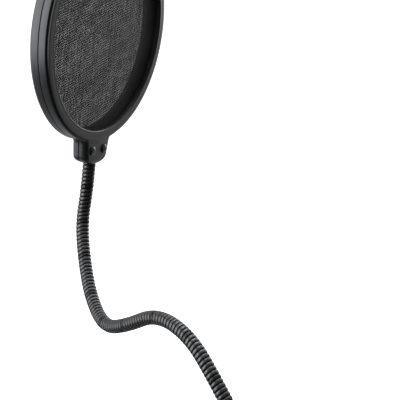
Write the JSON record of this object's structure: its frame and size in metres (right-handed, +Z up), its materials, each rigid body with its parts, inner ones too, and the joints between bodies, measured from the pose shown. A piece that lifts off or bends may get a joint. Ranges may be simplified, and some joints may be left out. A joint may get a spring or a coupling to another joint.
{
  "type": "pop filter",
  "caption": "Round double-mesh pop filter on a bendable gooseneck, with a screw clamp for a microphone stand tube.",
  "frame": {"origin": "centre of the gripped stand tube, halfway along the jaw pad", "axes": "+Z up along the stand tube, +Y along the clamp screw towards its knob, the neck leaves the clamp towards -X"},
  "size_m": [0.2673, 0.29, 0.3528],
  "materials": {
    "shell_plastic": "satin moulded plastic, very dark blue grey",
    "inner_plastic": "matt black moulded plastic",
    "mesh_fabric": "fine woven black nylon mesh",
    "neck_wire": "satin black coated wire winding",
    "black_steel": "black oxide",
    "zinc_steel": "bright zinc plate",
    "brass": "turned",
    "clamp_coat": "fine textured black powder coat",
    "knob_plastic": "moulded, fine spark texture",
    "rubber": "matt"
  },
  "bodies": {
    "clamp": {"clamp_frame": "clamp_coat", "jaw_pad": "rubber", "pad_screws": "black_steel", "thread_insert": "brass", "lower_ferrule": "black_steel", "neck_set_screw": "black_steel", "neck_root": "neck_wire", "neck_root_ribs": "neck_wire"},
    "link_01": {"neck_core_01": "neck_wire", "neck_ribs_01": "neck_wire"},
    "link_02": {"neck_core_02": "neck_wire", "neck_ribs_02": "neck_wire"},
    "link_03": {"neck_core_03": "neck_wire", "neck_ribs_03": "neck_wire"},
    "link_04": {"neck_core_04": "neck_wire", "neck_ribs_04": "neck_wire"},
    "link_05": {"neck_core_05": "neck_wire", "neck_ribs_05": "neck_wire"},
    "link_06": {"neck_core_06": "neck_wire", "neck_ribs_06": "neck_wire"},
    "link_07": {"neck_core_07": "neck_wire", "neck_ribs_07": "neck_wire"},
    "link_08": {"neck_core_08": "neck_wire", "neck_ribs_08": "neck_wire"},
    "link_09": {"neck_core_09": "neck_wire", "neck_ribs_09": "neck_wire"},
    "link_10": {"neck_core_10": "neck_wire", "neck_ribs_10": "neck_wire"},
    "link_11": {"neck_core_11": "neck_wire", "neck_ribs_11": "neck_wire"},
    "link_12": {"neck_core_12": "neck_wire", "neck_ribs_12": "neck_wire"},
    "head": {"front_shell": "shell_plastic", "rear_shell": "shell_plastic", "spacer_ring": "inner_plastic", "front_mesh": "mesh_fabric", "rear_mesh": "mesh_fabric", "hub_screws": "black_steel", "hub_nuts": "zinc_steel", "upper_ferrule": "zinc_steel", "neck_tip": "neck_wire", "neck_tip_ribs": "neck_wire"},
    "pressure_foot": {"foot_cup": "black_steel", "foot_pad": "rubber"},
    "clamp_screw": {"clamp_stud": "zinc_steel", "clamp_knob": "knob_plastic", "knob_insert": "brass", "knob_cap": "knob_plastic"}
  },
  "joints": [
    {"name": "neck_bend_01", "type": "hinge", "parent": "clamp", "child": "link_01", "pos_m": [-0.051, 0, 0], "axis": [0, 1, 0], "range_deg": [-30, 30]},
    {"name": "neck_bend_02", "type": "hinge", "parent": "link_01", "child": "link_02", "pos_m": [-0.087, 0.003, 0.007], "axis": [0.3408, -0.3408, 0.8762], "range_deg": [-30, 30]},
    {"name": "neck_bend_03", "type": "hinge", "parent": "link_02", "child": "link_03", "pos_m": [-0.111, 0.0115, 0.025], "axis": [0.6194, 0.776, 0.1188], "range_deg": [-30, 30]},
    {"name": "neck_bend_04", "type": "hinge", "parent": "link_03", "child": "link_04", "pos_m": [-0.1275, 0.0235, 0.0495], "axis": [0.5702, -0.5702, 0.5913], "range_deg": [-30, 30]},
    {"name": "neck_bend_05", "type": "hinge", "parent": "link_04", "child": "link_05", "pos_m": [-0.143, 0.0395, 0.0745], "axis": [0.7382, 0.6733, -0.0427], "range_deg": [-30, 30]},
    {"name": "neck_bend_06", "type": "hinge", "parent": "link_05", "child": "link_06", "pos_m": [-0.1615, 0.063, 0.089], "axis": [-0.1207, 0.1207, -0.9853], "range_deg": [-30, 30]},
    {"name": "neck_bend_07", "type": "hinge", "parent": "link_06", "child": "link_07", "pos_m": [-0.1825, 0.09, 0.084], "axis": [0.7647, 0.6431, 0.0414], "range_deg": [-30, 30]},
    {"name": "neck_bend_08", "type": "hinge", "parent": "link_07", "child": "link_08", "pos_m": [-0.201, 0.1155, 0.0715], "axis": [0.2096, -0.2096, -0.9551], "range_deg": [-30, 30]},
    {"name": "neck_bend_09", "type": "hinge", "parent": "link_08", "child": "link_09", "pos_m": [-0.2145, 0.1405, 0.0735], "axis": [-0.8743, -0.4621, 0.1488], "range_deg": [-30, 30]},
    {"name": "neck_bend_10", "type": "hinge", "parent": "link_09", "child": "link_10", "pos_m": [-0.223, 0.1635, 0.0905], "axis": [0.5232, -0.5232, 0.6727], "range_deg": [-30, 30]},
    {"name": "neck_bend_11", "type": "hinge", "parent": "link_10", "child": "link_11", "pos_m": [-0.2275, 0.182, 0.1125], "axis": [0.7848, 0.5521, -0.2817], "range_deg": [-30, 30]},
    {"name": "neck_bend_12", "type": "hinge", "parent": "link_11", "child": "link_12", "pos_m": [-0.22719, 0.1924, 0.13554], "axis": [-0.7066, 0.7066, -0.0362], "range_deg": [-30, 30]},
    {"name": "neck_bend_13", "type": "hinge", "parent": "link_12", "child": "head", "pos_m": [-0.22389, 0.19431, 0.16049], "axis": [-0.7023, -0.71, 0.0518], "range_deg": [-30, 30]},
    {"name": "foot_travel", "type": "slide", "parent": "clamp", "child": "pressure_foot", "axis": [0, 1, 0], "range_m": [-0.02, 0.01]},
    {"name": "screw_turn", "type": "hinge", "parent": "pressure_foot", "child": "clamp_screw", "pos_m": [0, 0.04, 0], "axis": [0, 1, 0], "range_deg": [-5800, 2900]}
  ],
  "couplings": [
    {"joint": "screw_turn", "follows": "foot_travel", "rad_per_m": 5026.5}
  ]
}
